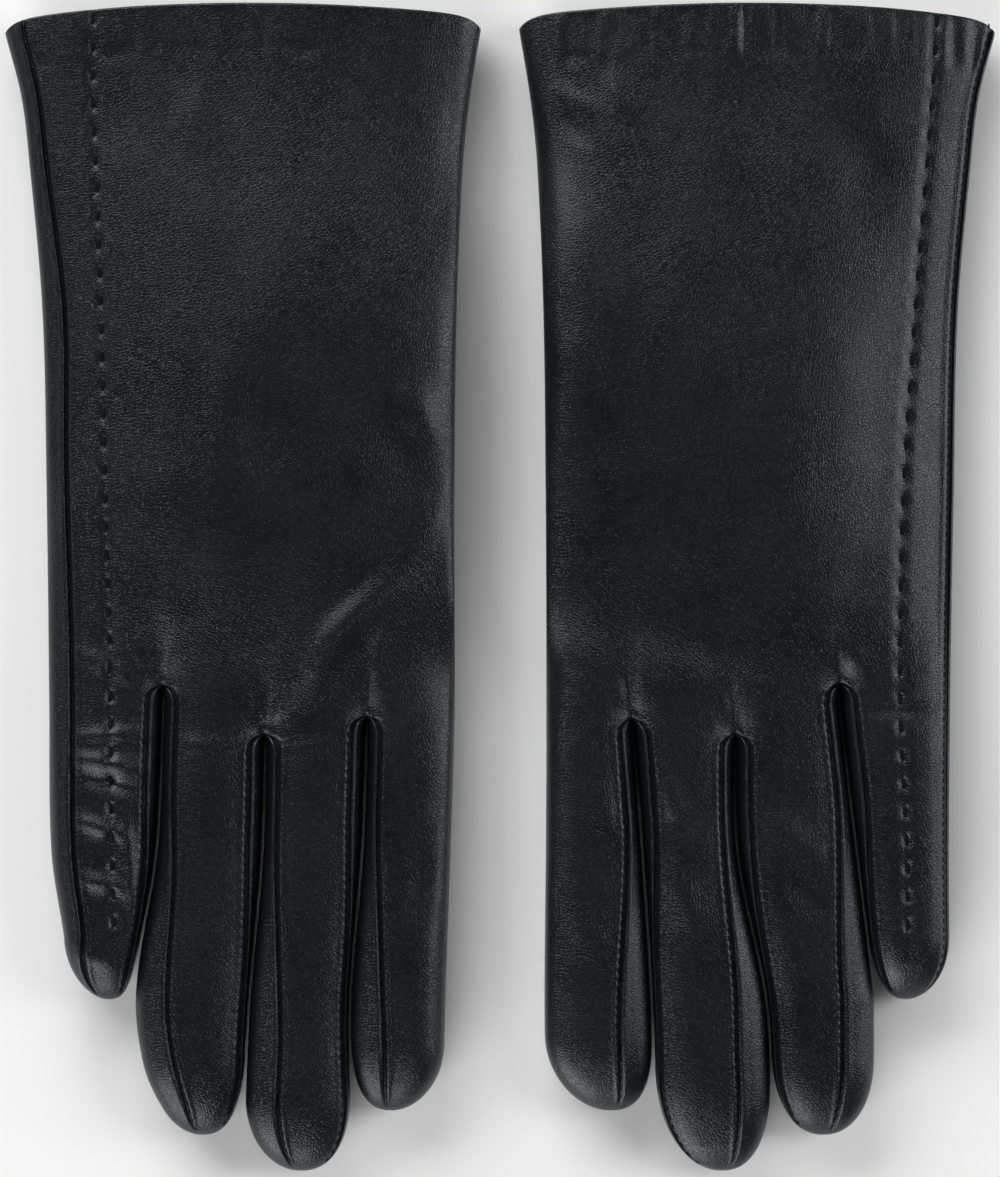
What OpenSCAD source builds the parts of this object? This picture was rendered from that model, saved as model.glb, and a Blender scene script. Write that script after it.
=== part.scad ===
// A pair of lined leather dress gloves, lying empty and palm down, each thumb folded under its palm.
// Millimetres, +Z up, cuffs toward +Y. The right-hand glove is at -X and the left-hand glove at +X.
// The origin is on the surface that the gloves lie on, under the middle of the pair.
//
// Each glove is drawn in its own coordinates: u runs across the hand toward the little finger,
// y along it toward the cuff, and z up. The right-hand glove is the mirror image of that space.

/* [Glove] */
// From the middle of the pair to the middle of each hand
pair_half = 54.25; // [54.25:0.25:70]
// Highest point of each cuff, from the middle of the pair
cuff_y = 126.6; // [122:0.2:130]
// Height of the empty hand
hand_h = 14.6; // [14:0.1:16]
// Height of an empty finger
finger_h = 14; // [13:0.1:14.5]
// Length over which a fingertip rounds off
tip_run = 13; // [11:0.5:15]

/* [Thumb] */
// Height of the palm above the surface where it lies on the folded thumb
palm_lift = 9.4; // [9.3:0.1:10]
// Thickness of the folded thumb
thumb_h = 8.8; // [8:0.1:8.9]
// Extra height of the back of the hand over the thumb
thumb_rise = 4.9; // [4:0.1:6]
// Half length of the opening between palm and thumb
opening_half_l = 21; // [16:0.5:22]
// Half width of the opening between palm and thumb
opening_half_w = 9; // [6:0.5:10]

/* [Leather and lining] */
// Thickness of the leather
leather_t = 0.9; // [0.7:0.05:1]
// Thickness of the knitted lining
lining_t = 0.7; // [0.5:0.05:0.8]
// Room between leather and lining
lining_gap = 0.45; // [0.4:0.05:0.5]
// Depth of the leather turned in at the cuff
hem_depth = 10; // [8:0.5:12]

/* [Stitching] */
// Length of a stitch in the decorative row on the back
stitch_l = 2.6; // [2:0.1:3.5]
// Distance from one decorative stitch to the next
stitch_pitch = 6.1; // [5:0.1:8]
// Thickness of the decorative thread
stitch_d = 0.8; // [0.5:0.05:1]
// Length of a stitch of the outseam
seam_stitch_l = 1.5; // [1:0.1:2]
// Distance from one outseam stitch to the next
seam_pitch = 2.8; // [2.5:0.1:4]
// Thickness of the sewing thread
seam_thread_d = 0.5; // [0.3:0.05:0.6]

/* [Movement] */
// Room left across each knuckle hinge
hinge_gap = 0.3; // [0.3:0.05:0.6]
// Room left on each side of a finger
side_gap = 0.3; // [0.3:0.05:0.6]
// How far a finger can bend backward, in degrees
lift_angle = 10; // [0:1:10]

/* [Hidden] */
GLOVE_NODES = [
    "trank_back", "trank_palm", "cuff_hem", "hand_lining", "outseam_thread", "back_stitches",
    "thumb", "thumb_lining",
    "index_trank", "index_fourchette", "index_lining",
    "middle_back", "middle_palm", "middle_inner_fourchette", "middle_outer_fourchette", "middle_lining",
    "ring_back", "ring_palm", "ring_inner_fourchette", "ring_outer_fourchette", "ring_lining",
    "little_back", "little_palm", "little_fourchette", "little_lining",
    "little_outseam_thread", "little_stitches"
];

LEATHER = [0.13, 0.13, 0.14];
LINING = [0.22, 0.22, 0.24];
THREAD = [0.05, 0.05, 0.05];

// Which glove: index into the lists that differ between the two
LEFT = 0;
RIGHT = 1;
// Which finger
INDEX = 0;
MIDDLE = 1;
RING = 2;
LITTLE = 3;

// Outline of the hand, [y, u], on the index side and on the little-finger side
index_edge = [[-25, -44.3], [20, -44.4], [60, -44.9], [92, -46.2], [106, -47.6], [122, -50]];
little_edge = [[-25, 43.8], [20, 44.3], [60, 45.2], [92, 48], [107, 49.8], [121, 53.4]];

// Lines between the fingers, [y, u], from the index side to the little-finger side, for each glove
finger_lines = [
    [[[-25, -44.2], [-57, -44.3], [-89, -44.6], [-112, -44.3]],
     [[-25, -25.8], [-57, -23.3], [-89, -21.3], [-112, -20.6]],
     [[-25, -3.2], [-57, -2.6], [-89, 3.6], [-112, 5]],
     [[-25, 19.5], [-57, 23.3], [-89, 27.3]],
     [[-25, 43.5], [-57, 43.2], [-75, 43.3]]],
    [[[-25, -44.4], [-57, -43.5], [-89, -42.4], [-112, -42]],
     [[-25, -25.4], [-57, -24.3], [-89, -21.7], [-112, -22]],
     [[-25, -3.3], [-57, -2.6], [-89, 0.2], [-112, 1.4]],
     [[-25, 18.9], [-57, 20.4], [-89, 25.2], [-112, 22]],
     [[-25, 43.7], [-57, 43.2], [-75, 40.5]]]
];
knuckle_y = [-28, -30, -26, -21];
tip_y = [-113.5, -126.6, -118.8, -89.3];
tip_u = [[-30, -5.9, 16.1, 33.9], [-30.4, -11.1, 10.4, 30.7]];
// Height of the point of an empty fingertip
tip_z = 5;

// Squareness of a finger's cross-section, and of a fingertip's outline
section_n = 2.8;
tip_n = 2.3;
// Steps along the straight part of a finger, and along its rounded tip
shaft_steps = [0, 0.35, 0.7, 1];
tip_steps = [0.35, 0.62, 0.82, 0.94, 0.999];

// Directions of the seams round a finger, in degrees from the little-finger side over the back
back_seam = 38;
side_seam = 15;
seam_half = 0.8;
arc_step = 14;

// Where the decorative row runs on the back, [y, u], for each glove
row_u = [
    [[121, 40.2], [95, 38.3], [63, 35.7], [19, 32.8], [-22, 32.2], [-57, 33.7], [-78, 33.9]],
    [[121, 33.7], [106, 33.7], [63, 32], [19, 30.9], [-22, 30], [-46, 29.8], [-78, 29.1]]
];

// The thumb: heel and tip, its middle line [y, u], and its half width [y, u]
thumb_heel_y = 62;
thumb_tip_y = -4;
thumb_line = [[62, -25], [40, -25.5], [20, -20], [-4, -13]];
thumb_half = [[62, 14], [40, 14], [10, 12], [-4, 12]];
opening_u = -25;
opening_y = 37;

// Rows along the hand between the cuff and the knuckles
hand_rows = [112, 101, 90, 79, 68, 57, 38, 19, 1, -5, -11, -17];
// Height of the index-side fold over the thumb, and half the gap in the seam at each edge
fold_z = 13;
edge_gap = 0.15;
// Half the width of the step between two knuckles
riser = 0.0012;

lining_in = leather_t + lining_gap;
hem_in = leather_t + edge_gap;
hem_t = 0.8;

// ---- Numbers and surfaces ----

function mix(a, b, t) = a + (b - a) * t;
function smooth(t) = let (c = max(0, min(1, t))) c * c * (3 - 2 * c);
function spow(x, n) = sign(x) * pow(abs(x), n);
function rounding(t, n) = pow(max(0, 1 - pow(abs(t), n)), 1 / n);
function flat(rows) = [for (row = rows) each row];
function mean(ring) = [for (k = [0 : 2]) [for (p = ring) p[k]] * [for (p = ring) 1] / len(ring)];
function quad(a, b, c, d) = [[a, b, c], [a, c, d]];

// 1 over the folded thumb, 0 at the knuckles and at the cuff
function over_thumb(y) = smooth((y + 21) / 20) * (1 - smooth((y - 64) / 34));

function line_u(g, k, y) = lookup(y, finger_lines[g][k]);

// Where a line between fingers meets the knuckles, as a share of the half width of the hand
function across(u, y) =
    let (lo = lookup(y, index_edge), hi = lookup(y, little_edge))
    (2 * u - lo - hi) / (hi - lo);
function crotch(g, k) = across(line_u(g, k, knuckle_y[k]), knuckle_y[k]);

// Columns across the hand, from the little-finger edge to the index edge
function hand_columns(g) =
    let (a = crotch(g, 3), b = crotch(g, 2), c = crotch(g, 1))
    [1, 0.985, 0.94, 0.85, 0.7, 0.57, a + riser, a - riser, (a + b) / 2, b + riser, b - riser,
     (b + c) / 2, c + riser, c - riser, -0.72, -0.85, -0.94, -0.985, -1];
// The lining does without a few of them
function lining_columns(g) =
    let (c = hand_columns(g))
    [for (i = [0 : len(c) - 1]) if (i != 1 && i != 11 && i != 15 && i != 17) c[i]];

function end_y(g, s) =
    s > crotch(g, 3) ? knuckle_y[LITTLE]
    : s > crotch(g, 2) ? knuckle_y[RING]
    : s > crotch(g, 1) ? knuckle_y[MIDDLE] : knuckle_y[INDEX];
function cuff_line(s) = cuff_y - (s < 0 ? 2.6 : 3.6) * s * s - 2.2 * pow(abs(s), 24);

function hand_point(s, y, top, inset) =
    let (
        lo = lookup(y, index_edge) + inset,
        hi = lookup(y, little_edge) - inset,
        u = mix(lo, hi, (s + 1) / 2),
        p = pow(1 - pow(abs(s), 3), 1 / 2.4),
        edge = mix(finger_h / 2, fold_z, over_thumb(y) * (1 - smooth((s + 1) / 1.4))),
        crown = mix(finger_h, hand_h, smooth((y + 30) / 30))
            + thumb_rise * over_thumb(y) * (1 - smooth((s - 0.1) / 0.9)) - inset,
        sole = palm_lift * over_thumb(y) * (1 - smooth((u - 10) / 26)) + inset
    )
    [u, y, top ? mix(edge + edge_gap, crown, p)
               : max(sole, mix(edge - edge_gap, sole, 1.05 * p))];

// Rows of points on one face of the hand, from a depth below the cuff's edge to the knuckles
function hand_face(g, columns, top, inset, depth) =
    let (rows = [for (y = hand_rows) if (y < cuff_line(1) - depth - 3) y])
    [for (i = [0 : len(rows) + 1])
        [for (s = top ? columns : reverse(columns))
            hand_point(s, i == 0 ? cuff_line(s) - depth : i > len(rows) ? end_y(g, s) : rows[i - 1],
                       top, inset)]];
function reverse(list) = [for (i = [len(list) - 1 : -1 : 0]) list[i]];

// Rows of a finger: [y, how far round the tip]
function finger_rows(f, inset) =
    let (root = knuckle_y[f] - hinge_gap, start = tip_y[f] + tip_run, tip = tip_y[f] + inset)
    concat([for (t = shaft_steps) [mix(root, start, t), 0]],
           [for (t = tip_steps) [mix(start, tip, t), t]]);

function finger_point(g, f, row, angle, inset, first) =
    let (
        y = row[0],
        t = row[1],
        q = rounding(t, tip_n),
        lo = line_u(g, f, y) + side_gap + inset,
        hi = line_u(g, f + 1, y) - side_gap - inset,
        u = mix((lo + hi) / 2, tip_u[g][f], t * t) + (hi - lo) / 2 * q * spow(cos(angle), 2 / section_n),
        z = mix(finger_h / 2, tip_z, t * t)
            + (finger_h / 2 - inset) * pow(q, 0.8) * spow(sin(angle), 2 / section_n)
    )
    [u, first ? y - z * tan(lift_angle) : y, z];

function finger_face(g, f, angles, inset) =
    let (rows = finger_rows(f, inset))
    [for (i = [0 : len(rows) - 1])
        [for (a = angles) finger_point(g, f, rows[i], a, inset, i == 0)]];

// Angles from one seam to the next, with a little room at each seam
function arc(from, to) =
    let (n = ceil((to - from) / arc_step))
    [for (i = [0 : n]) mix(from + seam_half, to - seam_half, i / n)];

// Rows of the thumb: [y, how far round its heel or tip]
function thumb_rows(inset) =
    let (heel = thumb_heel_y - tip_run, tip = thumb_tip_y + tip_run)
    concat([for (t = reverse(tip_steps)) [mix(heel, thumb_heel_y - inset, t), t]],
           [for (t = [0, 0.5, 1]) [mix(heel, tip, t), 0]],
           [for (t = tip_steps) [mix(tip, thumb_tip_y + inset, t), t]]);

function thumb_rings(inset, steps) =
    [for (row = thumb_rows(inset))
        let (q = rounding(row[1], tip_n), half = (lookup(row[0], thumb_half) - inset) * q)
        [for (k = [0 : steps - 1])
            let (a = 360 * k / steps)
            [lookup(row[0], thumb_line) + half * spow(cos(a), 2 / section_n),
             row[0],
             0.2 + thumb_h / 2 + (thumb_h / 2 - inset) * pow(q, 0.8) * spow(sin(a), 2 / section_n)]]];

// ---- Solids made from rows of points ----

// A wall between two faces. Each face is rows of points, and round ones close on themselves.
// A closed end has its faces gathered to a point.
module wall(outer, inner, round = false, closed_end = false) {
    n = len(outer);
    m = len(outer[0]);
    o = n * m;
    last = o - m;
    spans = [for (j = [0 : m - (round ? 1 : 2)]) [j, (j + 1) % m]];
    tips = closed_end ? [mean(outer[n - 1]), mean(inner[n - 1])] : [];
    polyhedron(
        points = concat(flat(outer), flat(inner), tips),
        faces = concat(
            [for (i = [0 : m : last - m], s = spans) each quad(i + s[0], i + m + s[0], i + m + s[1], i + s[1])],
            [for (i = [o : m : o + last - m], s = spans)
                each quad(i + s[0], i + s[1], i + m + s[1], i + m + s[0])],
            [for (s = spans) each quad(s[0], s[1], o + s[1], o + s[0])],
            closed_end
                ? [for (s = spans) each [[last + s[0], 2 * o, last + s[1]],
                                         [o + last + s[0], o + last + s[1], 2 * o + 1]]]
                : [for (s = spans) each quad(last + s[0], o + last + s[0], o + last + s[1], last + s[1])],
            round ? [] : [for (i = [0 : m : last - m]) each quad(i, o + i, o + i + m, i + m)],
            round ? [] : [for (i = [m - 1 : m : last - 1]) each quad(i, i + m, o + i + m, o + i)]
        ),
        convexity = 6
    );
}

// A body closed at both ends, from rings of points
module pod(rings) {
    n = len(rings);
    m = len(rings[0]);
    spans = [for (j = [0 : m - 1]) [j, (j + 1) % m]];
    polyhedron(
        points = concat(flat(rings), [mean(rings[0]), mean(rings[n - 1])]),
        faces = concat(
            [for (i = [0 : m : (n - 2) * m], s = spans)
                each quad(i + s[0], i + m + s[0], i + m + s[1], i + s[1])],
            [for (s = spans) each [[s[0], s[1], n * m], [(n - 1) * m + s[0], n * m + 1, (n - 1) * m + s[1]]]]
        ),
        convexity = 4
    );
}

// One stitch of thread from p to q
module stitch(p, q, d) {
    run = q - p;
    translate(p)
        rotate([0, acos(run[2] / norm(run)), atan2(run[1], run[0])])
            cylinder(h = norm(run), d = d, $fn = 6);
}

// Panel of a finger between two seams
module finger_panel(g, f, from, to) {
    angles = arc(from, to);
    wall(finger_face(g, f, angles, 0), finger_face(g, f, angles, leather_t));
}

// Closed lining of a finger
module finger_sock(g, f) {
    angles = [for (a = [0 : 30 : 330]) a];
    wall(finger_face(g, f, angles, lining_in), finger_face(g, f, angles, lining_in + lining_t),
         round = true, closed_end = true);
}

// The oval opening through which the thumb is entered from the hand
module thumb_opening() {
    translate([opening_u, opening_y, thumb_h / 2])
        linear_extrude(fold_z - thumb_h / 2)
            polygon([for (a = [0 : 15 : 345]) [opening_half_w * cos(a), opening_half_l * sin(a)]]);
}

// A thumb-shaped wall of one material, open toward the palm
module thumb_wall(inset, t, steps) {
    difference() {
        pod(thumb_rings(inset, steps));
        pod(thumb_rings(inset + t, steps));
        thumb_opening();
    }
}

// ---- Hand ----

// One side of the hand's leather
module hand_leather(g, top) {
    columns = hand_columns(g);
    wall(hand_face(g, columns, top, 0, 0), hand_face(g, columns, top, leather_t, 0));
}

module trank_back(g) {
    color(LEATHER) hand_leather(g, true);
}

module trank_palm(g) {
    color(LEATHER) difference() {
        hand_leather(g, false);
        thumb_opening();
    }
}

// The leather turned in at the cuff
module cuff_hem(g) {
    columns = hand_columns(g);
    color(LEATHER) wall(hem_rings(columns, hem_in), hem_rings(columns, hem_in + hem_t), round = true);
}
function hem_rings(columns, inset) =
    [for (depth = [0.3, hem_depth])
        concat([for (s = columns) hand_point(s, cuff_line(s) - depth, true, inset)],
               [for (s = reverse(columns)) hand_point(s, cuff_line(s) - depth, false, inset)])];

module hand_lining(g) {
    color(LINING) difference() {
        wall(lining_rings(g, lining_in), lining_rings(g, lining_in + lining_t), round = true);
        thumb_opening();
    }
}
function lining_rings(g, inset) =
    let (
        columns = lining_columns(g),
        top = hand_face(g, columns, true, inset, hem_depth + 0.5),
        sole = hand_face(g, columns, false, inset, hem_depth + 0.5)
    )
    [for (i = [0 : len(top) - 1]) concat(top[i], sole[i])];

// Thread along the seam on the little-finger side
module outseam_thread() {
    s = 0.975;
    color(THREAD)
        for (y = [cuff_line(s) - 3 : -seam_pitch : knuckle_y[LITTLE] + 2])
            stitch(hand_point(s, y, true, 0), hand_point(s, y - seam_stitch_l, true, 0), seam_thread_d);
}

// The running row of bold stitches down the back of the hand
module back_stitches(g) {
    color(THREAD)
        for (y = [cuff_y - 5 : -stitch_pitch : knuckle_y[LITTLE] + stitch_l])
            stitch(back_point(g, y), back_point(g, y - stitch_l), stitch_d);
}
function back_point(g, y) = hand_point(across(lookup(y, row_u[g]), y), y, true, 0);

// ---- Thumb ----

module thumb() {
    color(LEATHER) thumb_wall(0, leather_t, 16);
}

module thumb_lining() {
    color(LINING) thumb_wall(lining_in, lining_t, 12);
}

// ---- Fingers ----

// Back, index side and palm side of the index finger in one piece of leather
module index_trank(g) {
    color(LEATHER) finger_panel(g, INDEX, back_seam, 360 - back_seam);
}

module finger_back(g, f) {
    color(LEATHER) finger_panel(g, f, back_seam, 180 - back_seam);
}

module finger_palm(g, f) {
    color(LEATHER) finger_panel(g, f, 180 + back_seam, 360 - back_seam);
}

// The strip on the side of a finger that faces the index finger
module inner_fourchette(g, f) {
    color(LEATHER) finger_panel(g, f, 180 - back_seam, 180 + back_seam);
}

// The strip on the side of a finger that faces the little finger
module outer_fourchette(g, f) {
    color(LEATHER) finger_panel(g, f, -back_seam, back_seam);
}

module finger_lining(g, f) {
    color(LINING) finger_sock(g, f);
}

// The little finger has one fourchette, and its outseam runs along the other side
module little_back(g) {
    color(LEATHER) finger_panel(g, LITTLE, side_seam, 180 - back_seam);
}

module little_palm(g) {
    color(LEATHER) finger_panel(g, LITTLE, 180 + back_seam, 360 + side_seam);
}

module little_outseam_thread(g) {
    angle = side_seam + 4;
    color(THREAD)
        for (y = [knuckle_y[LITTLE] - 5 : -seam_pitch : tip_y[LITTLE] + tip_run])
            stitch(finger_point(g, LITTLE, [y, 0], angle, 0, false),
                   finger_point(g, LITTLE, [y - seam_stitch_l, 0], angle, 0, false), seam_thread_d);
}

// The decorative row goes on down the back of the little finger
module little_stitches(g) {
    color(THREAD)
        for (y = [knuckle_y[LITTLE] - 5 : -stitch_pitch : tip_y[LITTLE] + tip_run])
            stitch(little_point(g, y), little_point(g, y - stitch_l), stitch_d);
}
function little_point(g, y) =
    let (
        lo = line_u(g, LITTLE, y) + side_gap,
        hi = line_u(g, LITTLE + 1, y) - side_gap,
        u = lookup(y, row_u[g]),
        c = rounding((2 * u - lo - hi) / (hi - lo), section_n)
    )
    [u, y, finger_h / 2 * (1 + c)];

// ---- Places ----

module left_glove() {
    translate([pair_half, 0, 0]) children();
}

module right_glove() {
    mirror([1, 0, 0]) translate([pair_half, 0, 0]) children();
}

right_glove() trank_back(RIGHT);  // right_trank_back
right_glove() trank_palm(RIGHT);  // right_trank_palm
right_glove() cuff_hem(RIGHT);  // right_cuff_hem
right_glove() hand_lining(RIGHT);  // right_hand_lining
right_glove() outseam_thread();  // right_outseam_thread
right_glove() back_stitches(RIGHT);  // right_back_stitches
right_glove() thumb();  // right_thumb
right_glove() thumb_lining();  // right_thumb_lining
right_glove() index_trank(RIGHT);  // right_index_trank
right_glove() outer_fourchette(RIGHT, INDEX);  // right_index_fourchette
right_glove() finger_lining(RIGHT, INDEX);  // right_index_lining
right_glove() finger_back(RIGHT, MIDDLE);  // right_middle_back
right_glove() finger_palm(RIGHT, MIDDLE);  // right_middle_palm
right_glove() inner_fourchette(RIGHT, MIDDLE);  // right_middle_inner_fourchette
right_glove() outer_fourchette(RIGHT, MIDDLE);  // right_middle_outer_fourchette
right_glove() finger_lining(RIGHT, MIDDLE);  // right_middle_lining
right_glove() finger_back(RIGHT, RING);  // right_ring_back
right_glove() finger_palm(RIGHT, RING);  // right_ring_palm
right_glove() inner_fourchette(RIGHT, RING);  // right_ring_inner_fourchette
right_glove() outer_fourchette(RIGHT, RING);  // right_ring_outer_fourchette
right_glove() finger_lining(RIGHT, RING);  // right_ring_lining
right_glove() little_back(RIGHT);  // right_little_back
right_glove() little_palm(RIGHT);  // right_little_palm
right_glove() inner_fourchette(RIGHT, LITTLE);  // right_little_fourchette
right_glove() finger_lining(RIGHT, LITTLE);  // right_little_lining
right_glove() little_outseam_thread(RIGHT);  // right_little_outseam_thread
right_glove() little_stitches(RIGHT);  // right_little_stitches
left_glove() trank_back(LEFT);  // left_trank_back
left_glove() trank_palm(LEFT);  // left_trank_palm
left_glove() cuff_hem(LEFT);  // left_cuff_hem
left_glove() hand_lining(LEFT);  // left_hand_lining
left_glove() outseam_thread();  // left_outseam_thread
left_glove() back_stitches(LEFT);  // left_back_stitches
left_glove() thumb();  // left_thumb
left_glove() thumb_lining();  // left_thumb_lining
left_glove() index_trank(LEFT);  // left_index_trank
left_glove() outer_fourchette(LEFT, INDEX);  // left_index_fourchette
left_glove() finger_lining(LEFT, INDEX);  // left_index_lining
left_glove() finger_back(LEFT, MIDDLE);  // left_middle_back
left_glove() finger_palm(LEFT, MIDDLE);  // left_middle_palm
left_glove() inner_fourchette(LEFT, MIDDLE);  // left_middle_inner_fourchette
left_glove() outer_fourchette(LEFT, MIDDLE);  // left_middle_outer_fourchette
left_glove() finger_lining(LEFT, MIDDLE);  // left_middle_lining
left_glove() finger_back(LEFT, RING);  // left_ring_back
left_glove() finger_palm(LEFT, RING);  // left_ring_palm
left_glove() inner_fourchette(LEFT, RING);  // left_ring_inner_fourchette
left_glove() outer_fourchette(LEFT, RING);  // left_ring_outer_fourchette
left_glove() finger_lining(LEFT, RING);  // left_ring_lining
left_glove() little_back(LEFT);  // left_little_back
left_glove() little_palm(LEFT);  // left_little_palm
left_glove() inner_fourchette(LEFT, LITTLE);  // left_little_fourchette
left_glove() finger_lining(LEFT, LITTLE);  // left_little_lining
left_glove() little_outseam_thread(LEFT);  // left_little_outseam_thread
left_glove() little_stitches(LEFT);  // left_little_stitches
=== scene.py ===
"""A pair of black nappa leather gloves, lying palm down with the thumbs folded under."""

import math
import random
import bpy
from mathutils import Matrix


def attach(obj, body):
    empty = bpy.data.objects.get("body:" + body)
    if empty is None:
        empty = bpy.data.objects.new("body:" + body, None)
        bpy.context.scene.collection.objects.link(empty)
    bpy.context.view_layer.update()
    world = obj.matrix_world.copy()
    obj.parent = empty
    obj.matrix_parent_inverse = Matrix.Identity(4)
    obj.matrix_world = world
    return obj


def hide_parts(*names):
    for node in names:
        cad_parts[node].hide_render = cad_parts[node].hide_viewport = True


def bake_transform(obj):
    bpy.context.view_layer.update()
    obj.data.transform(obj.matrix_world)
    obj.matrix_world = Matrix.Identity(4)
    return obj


bl_info = {
    "name": "Leather glove pair",
    "version": (1, 0, 0),
    "blender": (4, 5, 0),
    "location": "View3D > Sidebar > Gloves",
    "description": "Sews a pair of lined leather gloves round the packed CAD frame",
    "category": "Add Mesh",
}

import bmesh
import bpy
from mathutils import Matrix, Vector, noise

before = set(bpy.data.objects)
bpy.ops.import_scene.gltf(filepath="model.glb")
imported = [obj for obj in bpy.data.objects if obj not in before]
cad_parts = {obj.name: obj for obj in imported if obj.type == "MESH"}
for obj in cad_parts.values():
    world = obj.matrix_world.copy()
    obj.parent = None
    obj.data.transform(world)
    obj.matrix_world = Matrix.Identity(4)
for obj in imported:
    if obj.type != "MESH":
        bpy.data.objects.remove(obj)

# A glove is drafted in millimetres: u runs across it toward the little finger, y along it toward
# the cuff and z up. to_world() mirrors the right-hand one and turns both into metres.
MM = 0.001
PAIR_HALF = 54.25
CUFF_Y = 126.6
HAND_H = 14.6
FINGER_H = 14.0
THUMB_TIP_RUN = 13.0
TIP_Z = 5.0
PALM_LIFT = 9.4
THUMB_H = 8.8
THUMB_RISE = 4.9
FOLD_Z = 13.0

# Roundness of a finger's section and of its tip; the section is followed out to SECTION_LIMIT.
SECTION_N = 2.8
TIP_N = 2.15
SECTION_LIMIT = 0.9

# Stitches are given as length, width and height.
ROW_STITCH = (2.9, 1.35, 0.6)
ROW_PITCH = 6.1
ROW_START = 1.9
ROW_END_Y = -76
SEAM_STITCH = (1.3, 0.45, 0.3)
SEAM_PITCH = 2.0
FIRST_STITCH = 2.2
SEAM_STITCH_IN = 0.62
OUTSEAM_STITCH = (1.3, 0.42, 0.3)
OUTSEAM_PITCH = 1.9
OUTSEAM_STITCH_IN = 0.55
THUMB_STITCH = (1.05, 0.3, 0.24)
THUMB_STITCH_PITCH = 1.75

# Where the rows of every panel change spacing, and where a row's place across the cuff is read.
CUFF_ROWS_Y = 112
CUFF_READ_Y = 118
ROOT_ROWS_Y = -18
FINGER_ROWS_Y = -36

KNUCKLE_HALF = 44.3
KNUCKLE_WIDTH = 88.1
CROTCH_OPENING = 3.1
CROTCH_ROUND = 4.0
BEND_RUN = 15
PALM_SOFTNESS = 0.35
WELD = 0.02
FINE_WELD = 0.01

FINGERS = ("index", "middle", "ring", "little")
INDEX_EDGE = ((20, -44.4), (60, -44.9), (92, -46.2), (106, -47.6), (122, -50.2))
LITTLE_EDGE = ((20, 44.3), (60, 45.2), (92, 48), (107, 49.8), (121, 53.4))
TIP_Y = (-113.5, -126.6, -118.8, -89.3)
THUMB_LINE = ((-4, -13), (20, -20), (40, -25.5), (62, -25))
THUMB_HALF = ((-4, 12), (10, 12), (40, 14), (62, 14))
THUMB_TIP_Y = -4.0
THUMB_HEEL_Y = 62.0
OPENING_U = -25.0
OPENING_Y = 37.0
OPENING_HALF_L = 21.0
OPENING_HALF_W = 9.0
COLLAR_OUT = 0.6
COLLAR_STEPS = 4
THUMB_SEAM_T = 0.55
THUMB_STITCH_T = 0.566

# Paths round the cuff: depth below its edge, and inset from the outside of the leather.
HEM_PATH = (
    (0.5, 0.0),
    (0.25, 0.02),
    (0.08, 0.14),
    (0.0, 0.36),
    (0.0, 0.58),
    (0.1, 0.8),
    (0.3, 0.94),
    (0.8, 1.0),
    (2.0, 1.02),
    (4.0, 1.0),
    (6.0, 1.05),
    (8.0, 1.0),
    (9.4, 1.1),
    (9.9, 1.3),
    (10.0, 1.6),
    (10.0, 2.2),
)
SOCK_PATH = ((9.2, 1.9), (10.4, 1.75), *((depth, 1.7) for depth in range(12, 60, 4)))

# Small folds over each crotch: run across, run up, width and height.
CROTCH_FOLDS = ((-5, 10, 1.2, 0.4), (-2, 12, 1.1, -0.3), (2.5, 13, 1.3, 0.35), (6, 8, 1.2, 0.35))

# Name, place, size and power in watts; each faces the gloves.
SOFTBOXES = (
    ("far_softbox", (-0.55, 1.1, 0.65), (1.4, 0.8), 22),
    ("near_softbox", (-0.6, -1.1, 0.5), (1.2, 0.7), 16),
    ("right_softbox", (1.25, 0.2, 0.5), (0.6, 1.4), 13),
)
CAMERA_PLACE = (0, 0.0001, 1.073)
CAMERA_LENS = 150

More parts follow.
